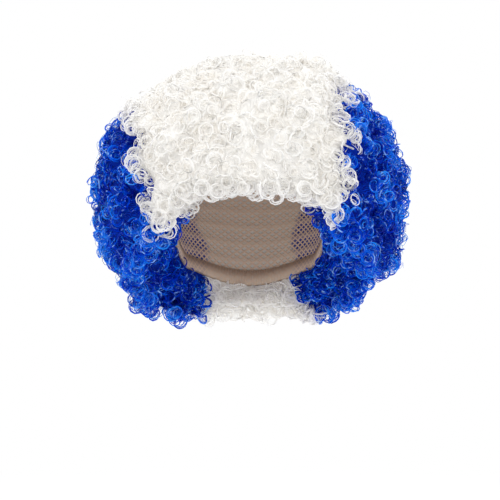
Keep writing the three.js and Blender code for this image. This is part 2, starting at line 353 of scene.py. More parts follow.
def fibre_group():
    """Curled fibre: colour from deep over body to light by the strand's own tone, which carries painted
    light and shade, a drift over the hair and fine lines along the strand, with painted glints, painted
    highlights in the colour, in short arcs along the bends of the lighter strands, placed by the strand's
    tone; the lines also give the relief, and lighter fibre is glossier."""
    group, start, end = group_tree(
        "curled_fibre",
        {"Deep": "Color", "Body": "Color", "Light": "Color", "Painted_Glint": "Color"},
        {"Color": "Color", "Roughness": "Float", "Height": "Float"},
    )
    link = group.links.new
    tone = node(group, "ShaderNodeAttribute", attribute_name="tone")
    place = node(group, "ShaderNodeTexCoord")
    patch = node(group, "ShaderNodeTexNoise", {"Scale": 48, "Detail": 3})
    link(place.outputs["Object"], patch.inputs["Vector"])
    drift = node(group, "ShaderNodeMapRange", {"From Min": 0.35, "From Max": 0.65})
    link(patch.outputs["Fac"], drift.inputs["Value"])
    stretch = node(group, "ShaderNodeMapping", {"Scale": (7, 2, 1)})
    lines = node(group, "ShaderNodeTexNoise", {"Scale": 2, "Detail": 3})
    link(place.outputs["UV"], stretch.inputs["Vector"])
    link(stretch.outputs["Vector"], lines.inputs["Vector"])
    lay = node(group, "ShaderNodeSeparateXYZ")
    link(place.outputs["UV"], lay.inputs["Vector"])
    way = node(group, "ShaderNodeCombineXYZ")
    link(tone.outputs["Fac"], way.inputs["X"])
    link(lay.outputs["Y"], way.inputs["Y"])
    # Painted glints: short arcs of a light colour along the strand, painted into the colour as highlights
    bends = node(group, "ShaderNodeMapping", {"Scale": (90, 7, 1)})
    link(way.outputs["Vector"], bends.inputs["Vector"])
    arc = node(group, "ShaderNodeTexNoise", {"Scale": 1, "Detail": 1})
    link(bends.outputs["Vector"], arc.inputs["Vector"])
    painted_glint = node(group, "ShaderNodeMapRange", {"From Min": 0.56, "From Max": 0.70})
    link(arc.outputs["Fac"], painted_glint.inputs["Value"])
    shares = (
        (tone.outputs["Fac"], TONE_SHARE),
        (drift.outputs["Result"], DRIFT_SHARE),
        (lines.outputs["Fac"], LINE_SHARE),
    )
    mixed = None
    for value, share in shares:
        part = node(group, "ShaderNodeMath", {1: share, 2: 0}, operation="MULTIPLY_ADD")
        link(value, part.inputs[0])
        if mixed:
            link(mixed, part.inputs[2])
        mixed = part.outputs[0]
    deep_at, body_at, light_at = SHADE_STEPS
    low = node(group, "ShaderNodeMapRange", {"From Min": deep_at, "From Max": body_at})
    high = node(group, "ShaderNodeMapRange", {"From Min": body_at, "From Max": light_at})
    gloss = node(group, "ShaderNodeMapRange", {"To Min": 0.36, "To Max": 0.18})
    for ramp in (low, high, gloss):
        link(mixed, ramp.inputs["Value"])
    dark = node(group, "ShaderNodeMix", data_type="RGBA")
    bright = node(group, "ShaderNodeMix", data_type="RGBA")
    link(low.outputs["Result"], dark.inputs["Factor"])
    link(start.outputs["Deep"], dark.inputs["A"])
    link(start.outputs["Body"], dark.inputs["B"])
    link(high.outputs["Result"], bright.inputs["Factor"])
    link(dark.outputs["Result"], bright.inputs["A"])
    link(start.outputs["Light"], bright.inputs["B"])
    # The painted glints fall only on the lighter strands
    lit = node(group, "ShaderNodeMath", operation="MULTIPLY")
    link(painted_glint.outputs["Result"], lit.inputs[0])
    link(low.outputs["Result"], lit.inputs[1])
    painted_glint_colour = node(group, "ShaderNodeMix", data_type="RGBA")
    link(lit.outputs[0], painted_glint_colour.inputs["Factor"])
    link(bright.outputs["Result"], painted_glint_colour.inputs["A"])
    link(start.outputs["Painted_Glint"], painted_glint_colour.inputs["B"])
    link(painted_glint_colour.outputs["Result"], end.inputs["Color"])
    link(gloss.outputs["Result"], end.inputs["Roughness"])
    link(lines.outputs["Fac"], end.inputs["Height"])
    return group


def hair_finish(name, fibre, shades, gloss, tint, scatter):
    """Satin synthetic hair in three shades and a painted glint colour, a painted highlight, with a tinted
    gloss and some light scattered in the fibre.
    """
    material = bpy.data.materials.new(name)
    material.use_nodes = True
    tree = material.node_tree
    shader = tree.nodes["Principled BSDF"]
    look = node(tree, "ShaderNodeGroup", node_tree=fibre)
    for key, colour in zip(("Deep", "Body", "Light", "Painted_Glint"), shades):
        look.inputs[key].default_value = (*colour, 1)
    bump = node(tree, "ShaderNodeBump", {"Strength": 0.3, "Distance": 0.0004})
    tree.links.new(look.outputs["Color"], shader.inputs["Base Color"])
    tree.links.new(look.outputs["Roughness"], shader.inputs["Roughness"])
    tree.links.new(look.outputs["Height"], bump.inputs["Height"])
    tree.links.new(bump.outputs["Normal"], shader.inputs["Normal"])
    shader.inputs["Specular IOR Level"].default_value = gloss
    shader.inputs["Specular Tint"].default_value = (*tint, 1)
    shader.inputs["Subsurface Weight"].default_value = scatter
    shader.inputs["Subsurface Radius"].default_value = (1, 1, 1)
    shader.inputs["Subsurface Scale"].default_value = 0.002
    return material


def packed_group():
    """Packed curls: rings about the centres of random cells, each ring a wave of the distance from its
    centre, bent by a fine noise."""
    group, start, end = group_tree("packed_curls", {"Curls": "Float", "Rings": "Float"}, {"Ring": "Float"})
    link = group.links.new
    place = node(group, "ShaderNodeTexCoord")
    bend = node(group, "ShaderNodeTexNoise", {"Scale": 90, "Detail": 2})
    link(place.outputs["Object"], bend.inputs["Vector"])
    bent = node(group, "ShaderNodeVectorMath", {1: (0.012, 0.012, 0.012)}, operation="MULTIPLY_ADD")
    link(bend.outputs["Color"], bent.inputs[0])
    link(place.outputs["Object"], bent.inputs[2])
    cells = node(group, "ShaderNodeTexVoronoi")
    link(bent.outputs["Vector"], cells.inputs["Vector"])
    link(start.outputs["Curls"], cells.inputs["Scale"])
    turn = node(group, "ShaderNodeMath", operation="MULTIPLY")
    link(cells.outputs["Distance"], turn.inputs[0])
    link(start.outputs["Rings"], turn.inputs[1])
    wave = node(group, "ShaderNodeMath", operation="SINE")
    link(turn.outputs[0], wave.inputs[0])
    ring = node(group, "ShaderNodeMapRange", {"From Min": -1})
    link(wave.outputs[0], ring.inputs["Value"])
    link(ring.outputs["Result"], end.inputs["Ring"])
    return group


def bed_finish(name, packed, deep, ring):
    """Dense hair seen in the depth between the ringlets: rings of fibre over a deeper colour that is painted
    shade between the rings;
    the blue bed is painted darker than its ringlets as a whole, painted shade in the gaps between them.
    """
    material = bpy.data.materials.new(name)
    material.use_nodes = True
    tree = material.node_tree
    shader = tree.nodes["Principled BSDF"]
    look = node(tree, "ShaderNodeGroup", node_tree=packed)
    look.inputs["Curls"].default_value = 75
    look.inputs["Rings"].default_value = 52
    colour = node(tree, "ShaderNodeMix", {"A": (*deep, 1), "B": (*ring, 1)}, data_type="RGBA")
    bump = node(tree, "ShaderNodeBump", {"Strength": 0.7, "Distance": 0.001})
    tree.links.new(look.outputs["Ring"], colour.inputs["Factor"])
    tree.links.new(look.outputs["Ring"], bump.inputs["Height"])
    tree.links.new(colour.outputs["Result"], shader.inputs["Base Color"])
    tree.links.new(bump.outputs["Normal"], shader.inputs["Normal"])
    shader.inputs["Roughness"].default_value = 0.7
    shader.inputs["Specular IOR Level"].default_value = 0.05
    return material


def net_finish(thread, white_gap_painted_shade, blue_gap_painted_shade):
    """Stretch net: two crossed sets of threads over gaps painted in the shaded colour of the panel behind,
    as painted shade, with closer threads along the sewn rows and fine ribs round the folded hem."""
    material = bpy.data.materials.new("cap_net")
    material.use_nodes = True
    tree = material.node_tree
    link = tree.links.new
    shader = tree.nodes["Principled BSDF"]
    place = node(tree, "ShaderNodeTexCoord")
    waves = []
    for turn, pitch in ((NET_TURN, NET_PITCH), (-NET_TURN, NET_PITCH), (0.0, RIB_PITCH)):
        lay = node(tree, "ShaderNodeMapping", {"Rotation": (0, 0, turn)})
        wave = node(tree, "ShaderNodeTexWave", {"Scale": WAVE_PERIOD / pitch, "Distortion": 0.4})
        link(place.outputs["UV"], lay.inputs["Vector"])
        link(lay.outputs["Vector"], wave.inputs["Vector"])
        waves.append(wave.outputs["Fac"])
    one_way, other_way, ribs = waves
    crossed = node(tree, "ShaderNodeMath", operation="MAXIMUM")
    link(one_way, crossed.inputs[0])
    link(other_way, crossed.inputs[1])
    net = node(tree, "ShaderNodeMapRange", {"From Min": 0.55, "From Max": 0.85})
    link(crossed.outputs[0], net.inputs["Value"])
    weft = node(tree, "ShaderNodeAttribute", attribute_name="weft")
    hem = node(tree, "ShaderNodeAttribute", attribute_name="hem")
    panel = node(tree, "ShaderNodeAttribute", attribute_name="panel")
    sewn = node(tree, "ShaderNodeMath", operation="MAXIMUM", use_clamp=True)
    link(weft.outputs["Fac"], sewn.inputs[0])
    link(hem.outputs["Fac"], sewn.inputs[1])
    close = node(tree, "ShaderNodeMath", {1: NET_CLOSE}, operation="MULTIPLY")
    link(sewn.outputs[0], close.inputs[0])
    threads = node(tree, "ShaderNodeMath", operation="MAXIMUM")
    link(net.outputs["Result"], threads.inputs[0])
    link(close.outputs[0], threads.inputs[1])
    # Painted shade of the hair behind the net, by panel
    gap = node(tree, "ShaderNodeMix", {"A": (*blue_gap_painted_shade, 1), "B": (*white_gap_painted_shade, 1)}, data_type="RGBA")
    link(panel.outputs["Fac"], gap.inputs["Factor"])
    colour = node(tree, "ShaderNodeMix", {"B": (*thread, 1)}, data_type="RGBA")
    link(threads.outputs[0], colour.inputs["Factor"])
    link(gap.outputs["Result"], colour.inputs["A"])
    height = node(tree, "ShaderNodeMix")
    link(hem.outputs["Fac"], height.inputs["Factor"])
    link(threads.outputs[0], height.inputs["A"])
    link(ribs, height.inputs["B"])
    bump = node(tree, "ShaderNodeBump", {"Strength": 0.7, "Distance": 0.0006})
    link(height.outputs["Result"], bump.inputs["Height"])
    link(colour.outputs["Result"], shader.inputs["Base Color"])
    link(bump.outputs["Normal"], shader.inputs["Normal"])
    shader.inputs["Roughness"].default_value = 0.85
    return material


# Shades of the fibre: deep, body, light and a painted glint, the colour of painted highlights
WHITE_SHADES = ((0.985, 0.962, 0.922), (0.991, 0.976, 0.948), (0.992, 0.984, 0.966), (0.998, 0.994, 0.986))
BLUE_SHADES = ((0.0001, 0.002, 0.16), (0.0002, 0.034, 0.66), (0.012, 0.22, 1.0), (0.26, 0.52, 1.0))
fibre = fibre_group()
white_fibre = hair_finish("white_fibre", fibre, WHITE_SHADES, gloss=0.2, tint=(1, 1, 1), scatter=0.8)
blue_fibre = hair_finish("blue_fibre", fibre, BLUE_SHADES, gloss=0.025, tint=(0.05, 0.4, 1), scatter=0.5)
packed = packed_group()
# The beds' colours are painted shade for the depth between the ringlets, darkest in the blue
white_depth_painted_shade = bed_finish("white_depth_painted_shade", packed, deep=(0.986, 0.966, 0.930), ring=(0.993, 0.978, 0.955))
blue_depth_painted_shade = bed_finish("blue_depth_painted_shade", packed, deep=(0.0002, 0.005, 0.16), ring=(0.0005, 0.04, 0.55))
# The gap colours are painted shade: the panels' hair as it looks in the shadow behind the net
cap_net = net_finish(thread=(0.62, 0.46, 0.34), white_gap_painted_shade=(0.55, 0.52, 0.48), blue_gap_painted_shade=(0.01, 0.03, 0.22))


# Cap

WEFT_ROWS = 13
WEFT_RELIEF = (0.0, 0.0, 0.0, 0.7, 0.5, 0.0)  # section of one sewn row, in steps up the cap
CAP_ROUND = 120
CAP_OUTER_ROWS = 12
CROWN_PATCH = 0.16  # share of the way from the crown to the hem that is sewn close
PANEL_BLEND = 4.0  # degrees over which the gaps of the net change from blue to white


def cap_piece():
    """Shell about the head's egg: down the outside, round the folded hem and up the inside of each
    meridian, where the sewn rows of hair stand out of the net in even steps from the hem to the crown.
    The first meridian is laid twice, so that the net closes on itself, and is then welded."""
    az = np.arange(CAP_ROUND + 1) / CAP_ROUND * 2 * np.pi
    rim = np.radians(edge_at("cap_rim", az))[:, None]
    hem = rim - math.radians(HEM_DEG)
    inner_rows = WEFT_ROWS * len(WEFT_RELIEF)
    outside = np.linspace(0, 1, CAP_OUTER_ROWS + 1)[None, 1:] * hem
    way_up = np.linspace(1, 0, inner_rows + 1)[:-1]
    inside = way_up[None, :] * hem
    weft = np.tile(WEFT_RELIEF, WEFT_ROWS)
    down = np.concatenate([outside, rim, rim, hem, inside], 1)
    grow = np.concatenate([np.full(CAP_OUTER_ROWS + 1, CAP_WALL), [-HEM_EXTRA, -HEM_EXTRA], -weft])
    band = np.concatenate([np.zeros(CAP_OUTER_ROWS + 3), np.where(way_up < CROWN_PATCH, 1.0, weft)])
    fold = np.concatenate([np.zeros(CAP_OUTER_ROWS), [1, 1, 1], np.zeros(inner_rows)])
    points = on_egg(HEAD, HEAD_CENTRE, direction(az[:, None], down), np.broadcast_to(grow, down.shape))
    poles = on_egg(HEAD, HEAD_CENTRE, direction(np.zeros(2), np.zeros(2)), np.array([CAP_WALL, 0.0]))
    count = down.shape[1]
    pole = len(az) * count
    grid = np.arange(pole).reshape(len(az), count)
    quads = np.stack([grid[:-1, :-1], grid[:-1, 1:], grid[1:, 1:], grid[1:, :-1]], -1).reshape(-1, 4)
    crown = np.stack([np.full(CAP_ROUND, pole), grid[:-1, 0], grid[1:, 0]], -1)
    inner = np.stack([np.full(CAP_ROUND, pole + 1), grid[1:, -1], grid[:-1, -1]], -1)
    uv = np.stack(np.broadcast_arrays(az[:, None] * HEAD["side"], down * HEAD["front"]), -1).reshape(-1, 2)
    points = np.concatenate([points.reshape(-1, 3), poles])
    values = {
        "weft": np.append(np.tile(band, len(az)), [1, 1]),
        "hem": np.append(np.tile(fold, len(az)), [0, 0]),
        "panel": smooth(0.5 + past_parting(points) / PANEL_BLEND),
    }
    uv = np.concatenate([uv, [[0, 0], [0, 0]]])
    triangles = np.concatenate([crown, inner])
    return mesh_piece("net_cap", points, quads, triangles, cap_net, values, uv, weld=True)


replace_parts(cap_piece(), "cap")


# Hair beds: the dense mass that the ringlets grow from

BED_INSET = 14.0
BED_LUMP = 7.0
BED_REACH = 0.955  # share of the hair at which the bed ends
BED_SEAM = 0.004  # share of the way to the lower edge that parts a blue bed from the white one
BED_EDGE_STEPS = 12
HALVINGS = 30


def disc_place(x, y):
    """Azimuth and share of a place on the flattened hair, the crown at the middle and the edge at 1."""
    return np.arctan2(x, -y), np.minimum(np.hypot(x, y), 1) * BED_REACH


def is_white(x, y):
    """Whether a place on the flattened hair lies between the partings."""
    return past_parting(hair_face(*disc_place(x, y), CURL_RISE)) > 0


def halved(inside, low, high):
    """The value between low, where inside holds, and high, where it doesn't, found by halving."""
    for _ in range(HALVINGS):
        middle = (low + high) / 2
        good = inside(middle)
        low, high = np.where(good, middle, low), np.where(good, high, middle)
    return low


def parting_ends(side):
    """Azimuths at which one parting meets the lower edge, in front and at the back."""

    def white_edge(az):
        """Whether the lower edge is white at an azimuth towards this side."""
        return is_white(side * np.sin(az), -np.cos(az))

    front = halved(white_edge, np.zeros(1), np.full(1, np.pi / 2))
    back = halved(white_edge, np.full(1, np.pi), np.full(1, np.pi / 2))
    return front[0], back[0]


def parting_line(side, count):
    """Places of one parting on the flattened hair, from the front edge to the back edge."""
    front, back = parting_ends(side)
    y = -np.cos(np.linspace(0, 1, count) * (back - front) + front)
    x = halved(lambda x: is_white(side * x, y), np.zeros(count), np.sqrt(1 - y * y))
    return side * x, y


def edge_arc(start, end, count):
    """Places along the lower edge, on the unit circle of the flattened hair."""
    az = np.linspace(start, end, count)
    return np.sin(az), -np.cos(az)


def two_sheets(x, y, name, material):
    """Closed bed over a grid of places: an outer sheet that follows the big curls, an inner one along
    the cap, and a wall round the border."""
    az, share = disc_place(x, y)
    lump = bunch(hair_face(az, share, CURL_RISE))[0]
    outer = hair_face(az, share, BED_INSET - BED_LUMP * lump)
    inner = hair_root(az, share)
    n, m = x.shape
    points = np.concatenate([outer.reshape(-1, 3), inner.reshape(-1, 3)])
    grid = np.arange(n * m).reshape(n, m)
    sheet = np.stack([grid[:-1, :-1], grid[1:, :-1], grid[1:, 1:], grid[:-1, 1:]], -1).reshape(-1, 4)
    loop = np.concatenate([grid[0, :-1], grid[:-1, -1], grid[-1, :0:-1], grid[:0:-1, 0]])
    after = np.roll(loop, -1)
    wall = np.stack([loop, after, after + n * m, loop + n * m], -1)
    quads = np.concatenate([sheet, sheet[:, ::-1] + n * m, wall])
    return mesh_piece(name, points, quads, np.zeros((0, 3), int), material, weld=True)


def white_bed(count, across):
    """Rows from the middle of the forehead to the middle of the nape, each from parting to parting. Each
    border joins three stretches, and the later ones leave out their first place, which is the last one's."""
    borders = []
    for side in (-1.0, 1.0):
        front, back = parting_ends(side)
        parts = [
            edge_arc(0, side * front, BED_EDGE_STEPS),
            parting_line(side, count),
            edge_arc(side * back, side * np.pi, BED_EDGE_STEPS),
        ]
        borders.append(np.concatenate([np.stack(p, -1)[(k > 0):] for k, p in enumerate(parts)]))
    t = np.linspace(0, 1, across)[None, :, None]
    place = borders[0][:, None] * (1 - t) + borders[1][:, None] * t
    return two_sheets(place[..., 0], place[..., 1], "white_bed", white_depth_painted_shade)


def blue_bed(side, name, count, across):
    """Rows from the front end of the parting to its back end, each from the parting to the lower edge."""
    front, back = parting_ends(side)
    x, y = parting_line(side, count)
    edge_x, edge_y = edge_arc(side * front, side * back, count)
    t = np.linspace(BED_SEAM, 1, across)[None, :]
    if side < 0:
        t = t[:, ::-1]
    x = x[:, None] * (1 - t) + edge_x[:, None] * t
    y = y[:, None] * (1 - t) + edge_y[:, None] * t
    return two_sheets(x, y, name, blue_depth_painted_shade)


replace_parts(white_bed(count=100, across=44), "hair_white")
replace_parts(blue_bed(1.0, "blue_bed_left", count=80, across=30), "hair_blue_left")
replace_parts(blue_bed(-1.0, "blue_bed_right", count=80, across=30), "hair_blue_right")


# Ringlets

# Strands of a ringlet: three locks that lie close together and two fine strays; nest is the share of the
# ringlet's radius that a strand keeps, and stray how far it may leave the ring
STRANDS = {
    "width": [1.4, 1.1, 0.9, 0.5, 0.45],
    "thick": [1.3, 1.0, 0.9, 0.5, 0.45],
    "turns": [1.5, 1.4, 1.3, 1.1, 1.0],
    "steps": [16, 15, 13, 11, 10],
    "nest": [1.0, 0.87, 0.73, 0.94, 0.80],
    "stray": [0.02, 0.04, 0.06, 0.10, 0.22],
}
ALL_STRANDS, LOCKS, LOOPS = (0, 5), (0, 2), (1, 3)  # first strand, and the one past the last

# Layers spread over the outer face: start is where a layer's sequence of places begins, deep how far its
# ringlets lie under the face, level the share of their axis that runs level, stray how far the axis is off
FACE_LAYERS = {
    "name": ["top", "under", "parting", "loose"],
    "count": [1400, 900, 2400, 380],
    "start": [1, 5000, 9000, 14000],
    "deep": [(-2.5, 3.0), (0.0, 4.0), (-4.0, 1.0), (-6.0, -2.0)],
    "level": [0.7, 0.1, 0.6, 0.7],
    "stray": [0.35, 0.25, 0.25, 0.6],
    "radius": [(5.5, 8.5), (6.0, 9.0), (6.0, 9.5), (5.0, 7.5)],
    "strands": [ALL_STRANDS, LOCKS, ALL_STRANDS, LOOPS],
}

# Layers about the lower edge: the hanging edge, the inside of the hair below the cap, and the underside
EDGE_LAYERS = {
    "name": ["hem", "inner", "underside"],
    "count": [180, 340, 170],
    "level": [0.7, 0.7, 0.0],
    "stray": [0.3, 0.25, 0.2],
    "radius": [(6.5, 8.5), (5.0, 7.0), (5.5, 8.0)],
    # The inside and the underside have a lower tone as painted shade, where the hair faces the head or hangs
    # underneath
    "tone": [0.6, 0.4, 0.4],
    "strands": [ALL_STRANDS, LOCKS, LOCKS],
}

# How the places of the face layers are spread: a grid that sums the face's area, and two irrational steps,
# the plastic number's first and second inverse powers
AREA_ROUND = 240
AREA_DOWN = 160
AREA_INSET = 8.0
SPREAD_STEPS = np.array([0.7548776662466927, 0.5698402909980532])

# How a ringlet's axis is turned
OUTWARD_SHARE = 0.5
BACK_LOSS = 0.7  # share of the level part that is lost at the back of the head
BACK_START = 10.0  # depth at which it starts to be lost, and the way over which it is
BACK_FADE = 40.0
SIDEWAYS = 0.3  # share of the ringlets whose axis strays far
SIDEWAYS_STRAY = 3.0

# How the ringlets of the face lie on the big curls
VALLEY_DEPTH = 7.0  # how far the ringlets between the big curls lie below those on their ends
LEAN_SHARE = 0.7  # how much the side of a big curl turns its ringlets
FLAT_HALF = 2.5  # half the height of a ringlet that lies flat
SINK = 0.9  # share of its half height that a ringlet sinks into the hair
FACE_TONE = 0.45
# Painted light and shade: the ends of the big curls are painted lighter and the valleys between them darker
LUMP_PAINTED_SHADE = 0.7  # how much lighter the end of a big curl is than the valleys
FACE_TONE_SPREAD = 0.14
EDGE_TONE_SPREAD = 0.15

# How the layers meet and differ
PARTING_SPREAD = 1.8  # degrees by which a ringlet may take the colour of the other side
WHITE_PAST = -2.5  # degrees past the parting that the white curls reach over the blue side
BLUE_PAST = -3.5  # degrees past the parting at which the blue curls start
PARTING_ROW = (-4.0, 1.0)  # degrees about the parting that its white row fills
PARTING_MESS = (0.6, 2.4)
PARTING_TONE = 0.5  # least tone of the white row
TOP_MESS = 2.5  # how much more the strands stray in the ringlets away from the edges
# Painted shade: the under layer, lying deeper, is given a darker tone
UNDER_PAINTED_SHADE = 0.9
UNDER_STOUT = 1.3
HEM_SHARES = (0.93, 0.99)
HEM_DROP = (0.0, 7.0)
HEM_SHIFT = (-3.0, 3.0)
HEM_TURN_DOWN = 0.7
INNER_SHARES = (0.06, 1.0)
INNER_OFF = 0.5  # how far the inner ringlets stand off the inside of the hair
UNDERSIDE_OFF = (0.0, 3.0)
UNDERSIDE_SLOPE_STEP = 0.02
DOWN = np.array([0.0, 0.0, -1.0])


def row_of(table, name):
    """One named row of a table of columns."""
    place = table["name"].index(name)
    return {key: column[place] for key, column in table.items()}


def spread_over_hair(count, start):
    """Even places over the hair's outer face: an additive sequence of two irrational steps, carried
    over by the running sums of the face's area, first round the head and then down each meridian."""
    az = (np.arange(AREA_ROUND) + 0.5) / AREA_ROUND * 2 * np.pi - np.pi
    share = (np.arange(AREA_DOWN) + 0.5) / AREA_DOWN
    grid_az, grid_share = np.meshgrid(az, share, indexing="ij")
    face = hair_face(grid_az, grid_share, AREA_INSET)
    area = np.linalg.norm(np.cross(np.gradient(face, axis=0), np.gradient(face, axis=1)), axis=-1)
    step = np.arange(start, start + count)[:, None] * SPREAD_STEPS
    u, v = (step % 1.0).T
    round_sum = np.cumsum(area.sum(1)) / area.sum()
    at = np.interp(u, np.concatenate([[0], round_sum]), np.linspace(-np.pi, np.pi, AREA_ROUND + 1))
    row = np.clip(((at + np.pi) / (2 * np.pi) * AREA_ROUND).astype(int), 0, AREA_ROUND - 1)
    down_sum = (np.cumsum(area, axis=1) / area.sum(1, keepdims=True))[row]
    cell = (down_sum < v[:, None]).sum(1)
    below = np.take_along_axis(down_sum, np.maximum(cell - 1, 0)[:, None], 1)[:, 0]
    below = np.where(cell > 0, below, 0)
    above = np.take_along_axis(down_sum, np.minimum(cell, AREA_DOWN - 1)[:, None], 1)[:, 0]
    return at, (cell + (v - below) / np.maximum(above - below, 1e-9)) / AREA_DOWN


def ring_axis(place, normal, level, stray, rng):
    """Ringlet axes: between the outward normal and straight to the front or back by a level share, which
    falls behind the middle of the head, off by a stray that a share of the ringlets has threefold."""
    count = len(normal)
    ahead = np.sign(normal[:, 1:2] + 1e-6) * np.array([0.0, 1.0, 0.0])
    level = level * (1 - BACK_LOSS * smooth((place[:, 1:2] - BACK_START) / BACK_FADE))
    stray = np.where(rng.uniform(size=count) < SIDEWAYS, SIDEWAYS_STRAY, 1.0) * stray
    return unit(OUTWARD_SHARE * normal + level * ahead + rng.normal(size=(count, 3)) * stray[:, None])


def ringlet_table(strands, white_from, centre, axis, normal, radius, tone, past):
    """Ringlets by column, with the strands and the colour of each, and plain stoutness and mess."""
    count = len(centre)
    return {
        "centre": centre,
        "axis": axis,
        "normal": normal,
        "radius": radius,
        "tone": np.clip(tone, 0, 1),
        "past": past,
        "white": past > white_from,
        "strands": np.tile(strands, (count, 1)),
        "stout": np.ones(count),
        "mess": np.ones(count),
    }


def face_ringlets(name, rng):
    """Ringlets of a layer spread over the outer face: each lies just under the end of its big curl, or
    deeper towards the valleys, turned aside as the big curl is, and is painted lighter on the end than
    below, as painted light and shade."""
    layer = row_of(FACE_LAYERS, name)
    count = layer["count"]
    az, share = spread_over_hair(count, layer["start"])
    foot = hair_face(az, share, CURL_RISE)
    lump, lean = bunch(foot)
    reach = hair_face(az, share, VALLEY_DEPTH * (1 - lump))
    normal = unit(face_normal(az, share) + LEAN_SHARE * lump[:, None] * lean)
    axis = ring_axis(reach, normal, layer["level"], layer["stray"], rng)
    radius = rng.uniform(*layer["radius"], count)
    upright = np.abs((axis * normal).sum(-1))
    half = upright * FLAT_HALF + np.sqrt(1 - upright**2) * radius
    centre = reach - normal * (half * SINK + rng.uniform(*layer["deep"], count))[:, None]
    past = past_parting(foot) + rng.normal(0, PARTING_SPREAD, count)
    # Painted light on the ends of the big curls and painted shade in the valleys
    tone = FACE_TONE + LUMP_PAINTED_SHADE * (lump - 0.5) + rng.normal(0, FACE_TONE_SPREAD, count)
    return ringlet_table(layer["strands"], WHITE_PAST, centre, axis, normal, radius, tone, past)


def hem_ringlets(rng):
    """Ringlets that hang along the lower edge, facing outward."""
    layer = row_of(EDGE_LAYERS, "hem")
    count = layer["count"]
    az = hem_azimuths(count)
    share = rng.uniform(*HEM_SHARES, count)
    lump = bunch(hair_face(az, share, CURL_RISE))[0]
    place = hair_face(az, share, CURL_RISE * (1 - lump))
    outward = direction(az, np.full(count, np.pi / 2))
    axis = ring_axis(place, outward, layer["level"], layer["stray"], rng)
    hang = DOWN * rng.uniform(*HEM_DROP, count)[:, None]
    centre = place + hang + outward * rng.uniform(*HEM_SHIFT, count)[:, None]
    normal = unit(outward + HEM_TURN_DOWN * DOWN)
    radius = rng.uniform(*layer["radius"], count)
    tone = rng.normal(layer["tone"], EDGE_TONE_SPREAD, count)
    past = past_parting(place)
    return ringlet_table(layer["strands"], WHITE_PAST, centre, axis, normal, radius, tone, past)


def inner_ringlets(rng):
    """Ringlets on the inside of the hair that hangs below the cap, facing the head."""
    layer = row_of(EDGE_LAYERS, "inner")
    count = layer["count"]
    az = np.arange(count) * GOLDEN_ANGLE
    rim = np.radians(edge_at("cap_rim", az))
    end = np.radians(edge_at("hair_end", az))
    place = hair_inside(az, rim + (end - rim) * rng.uniform(*INNER_SHARES, count))
    normal = -unit(place - HEAD_CENTRE)
    centre = place + normal * INNER_OFF
    radius = rng.uniform(*layer["radius"], count)
    axis = ring_axis(place, normal, layer["level"], layer["stray"], rng)
    # The layer's lower tone is painted shade
    tone = rng.normal(layer["tone"], EDGE_TONE_SPREAD, count)
    return ringlet_table(layer["strands"], 0, centre, axis, normal, radius, tone, past_parting(place))


def underside_ringlets(rng):
    """Ringlets on the underside, from the inner face to the outer one, facing down along the head."""
    layer = row_of(EDGE_LAYERS, "underside")
    count = layer["count"]
    az = hem_azimuths(count)
    share = np.full(count, BED_REACH)
    root = hair_root(az, share)
    place = root + (hair_face(az, share, BED_INSET) - root) * rng.uniform(0.0, 1.0, count)[:, None]
    normal = unit(root - hair_root(az, share - UNDERSIDE_SLOPE_STEP))
    centre = place + normal * rng.uniform(*UNDERSIDE_OFF, count)[:, None]
    axis = ring_axis(place, normal, layer["level"], layer["stray"], rng)
    radius = rng.uniform(*layer["radius"], count)
    # The layer's lower tone is painted shade
    tone = rng.normal(layer["tone"], EDGE_TONE_SPREAD, count)
    return ringlet_table(layer["strands"], 0, centre, axis, normal, radius, tone, past_parting(place))


def chosen(ringlets, keep):
    """The ringlets of a table that a mask keeps."""
    return {key: value[keep] for key, value in ringlets.items()}


def gathered(*tables):
    """Several tables of ringlets as one."""
    return {key: np.concatenate([table[key] for table in tables]) for key in tables[0]}


def all_ringlets(seed):
    """Every layer: the top, the stout locks under it, the white row that falls over each parting, loose
    strays, the hanging edge, the inside below the cap and the underside."""
    rng = np.random.default_rng(seed)
    top = face_ringlets("top", rng)
    top = chosen(top, top["white"] | (top["past"] < BLUE_PAST))
    top["mess"] *= TOP_MESS
    under = face_ringlets("under", rng)
    # Painted shade on the deeper under layer
    under["tone"] *= UNDER_PAINTED_SHADE
    under["stout"] *= UNDER_STOUT
    row = face_ringlets("parting", rng)
    row = chosen(row, (row["past"] > PARTING_ROW[0]) & (row["past"] < PARTING_ROW[1]))
    row["white"][:] = True
    row["mess"] *= rng.uniform(*PARTING_MESS, len(row["mess"]))
    row["tone"] = PARTING_TONE + (1 - PARTING_TONE) * row["tone"]
    loose = face_ringlets("loose", rng)
    loose["mess"] *= TOP_MESS
    hem = hem_ringlets(rng)
    inner = inner_ringlets(rng)
    return gathered(top, under, row, loose, hem, inner, underside_ringlets(rng))


# How a strand coils, as shares of its length, of its radius or of a turn
END_SWELL = 0.8  # radius at the ends against that in the middle
TIP_START = 0.75
TIP_CLOSE = 0.35
WOBBLE = 0.07
WOBBLE_TURNS = (0.8, 1.7)
TURN_SPREAD = (0.92, 1.08)
PHASE_SPREAD = 0.15
COIL_PITCH = (1.8, 3.6)
DIVE_DEPTH = 9.0
DIVE_SHARE = 0.3
CENTRE_STRAY = 5.0
OFF_NORMAL = 0.01  # keeps the coil's first side apart from an axis that is the normal itself
WIDTH_SPREAD = (0.8, 1.25)
THICK_SPREAD = (0.85, 1.15)
STRAND_TONE_SPREAD = 0.12
ODD_TONES = (-0.2, 0.0, 0.3)  # some strands are darker or lighter than their ringlet
ODD_CHANCES = (0.22, 0.62, 0.16)


